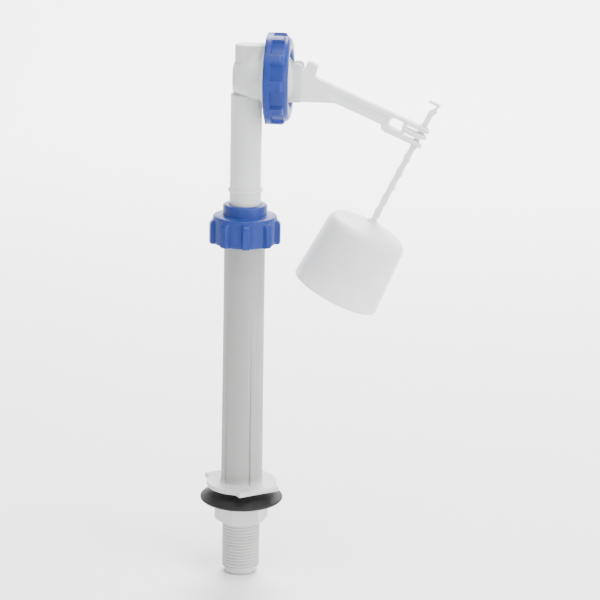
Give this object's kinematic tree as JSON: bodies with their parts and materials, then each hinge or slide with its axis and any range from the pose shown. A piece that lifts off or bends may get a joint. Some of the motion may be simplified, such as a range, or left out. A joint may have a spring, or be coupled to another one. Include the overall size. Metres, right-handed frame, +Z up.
{
  "type": "toilet fill valve",
  "caption": "Height-adjustable bottom-entry cistern fill valve: threaded tail, ribbed column, clamped riser, diaphragm head, arm and small float cup.",
  "frame": {"origin": "on the column's axis, at the underside of the flange that stands on the cistern floor", "axes": "+Z up along the column and riser, +X out along the float arm, +Y to the valve's left as seen looking along +X"},
  "size_m": [0.126, 0.0486, 0.3019],
  "materials": {
    "column_plastic": "matt off-white polypropylene",
    "white_plastic": "satin white acetal",
    "milky_plastic": "milky natural polypropylene",
    "float_plastic": "thin milky polypropylene, slightly translucent",
    "blue_plastic": "mid-blue moulded plastic, satin gloss",
    "black_rubber": "matt black rubber",
    "pin_steel": "stainless wire"
  },
  "bodies": {
    "base": {"lower_column": "column_plastic", "standpipe": "white_plastic", "inlet_filter": "milky_plastic", "flow_restrictor": "blue_plastic"},
    "washer": {"seal_washer": "black_rubber"},
    "backnut": {"backnut": "column_plastic"},
    "collet": {"grip_collet": "white_plastic"},
    "collar_nut": {"collar_nut": "blue_plastic"},
    "riser_seal": {"supply_seal": "black_rubber"},
    "riser": {"supply_tube": "white_plastic", "riser_head": "white_plastic", "riser_guide_ring": "white_plastic", "diaphragm": "black_rubber"},
    "bush": {"metering_bush": "white_plastic"},
    "cover": {"metering_pin": "pin_steel", "diaphragm_cover": "white_plastic", "pivot_pin": "white_plastic"},
    "cap_nut": {"cap_nut": "blue_plastic"},
    "float_arm": {"float_arm": "milky_plastic", "pilot_seal": "black_rubber"},
    "float": {"float_stem": "milky_plastic", "float_cup": "float_plastic"}
  },
  "joints": [
    {"name": "washer_slide", "type": "slide", "parent": "base", "child": "washer", "axis": [0, 0, 1], "range_m": [-0.022, 0]},
    {"name": "backnut_turn", "type": "hinge", "parent": "washer", "child": "backnut", "pos_m": [0, 0, -0.015], "axis": [0, 0, 1], "range_deg": [-4320, 0]},
    {"name": "collet_slide", "type": "slide", "parent": "base", "child": "collet", "axis": [0, 0, 1], "range_m": [0, 0.003]},
    {"name": "collar_nut_turn", "type": "hinge", "parent": "collet", "child": "collar_nut", "pos_m": [0, 0, 0.145], "axis": [0, 0, 1], "range_deg": [0, 430]},
    {"name": "riser_slide", "type": "slide", "parent": "base", "child": "riser_seal", "axis": [0, 0, 1], "range_m": [-0.0035, 0.06]},
    {"name": "riser_turn", "type": "hinge", "parent": "riser_seal", "child": "riser", "pos_m": [0, 0, 0.1], "axis": [0, 0, 1], "continuous": true},
    {"name": "bush_slide", "type": "slide", "parent": "riser", "child": "bush", "axis": [1, 0, 0], "range_m": [-0.0012, 0], "deforming": ["diaphragm"]},
    {"name": "cover_slide", "type": "slide", "parent": "riser", "child": "cover", "axis": [1, 0, 0], "range_m": [0, 0.003]},
    {"name": "cap_nut_turn", "type": "hinge", "parent": "cover", "child": "cap_nut", "pos_m": [0.016, 0, 0.2276], "axis": [1, 0, 0], "range_deg": [0, 430]},
    {"name": "float_arm_swing", "type": "hinge", "parent": "cover", "child": "float_arm", "pos_m": [0.0263, 0, 0.2194], "axis": [0, -1, 0], "range_deg": [0, 13]},
    {"name": "float_slide", "type": "slide", "parent": "float_arm", "child": "float", "axis": [0.4384, 0, 0.8988], "range_m": [-0.007, 0.038]}
  ],
  "couplings": [
    {"joint": "washer_slide", "follows": "backnut_turn", "m_per_rad": 0.0002887},
    {"joint": "collet_slide", "follows": "collar_nut_turn", "m_per_rad": 0.0003979},
    {"joint": "cover_slide", "follows": "cap_nut_turn", "m_per_rad": 0.0003979},
    {"joint": "bush_slide", "follows": "float_arm_swing", "m_per_rad": -0.00525}
  ]
}
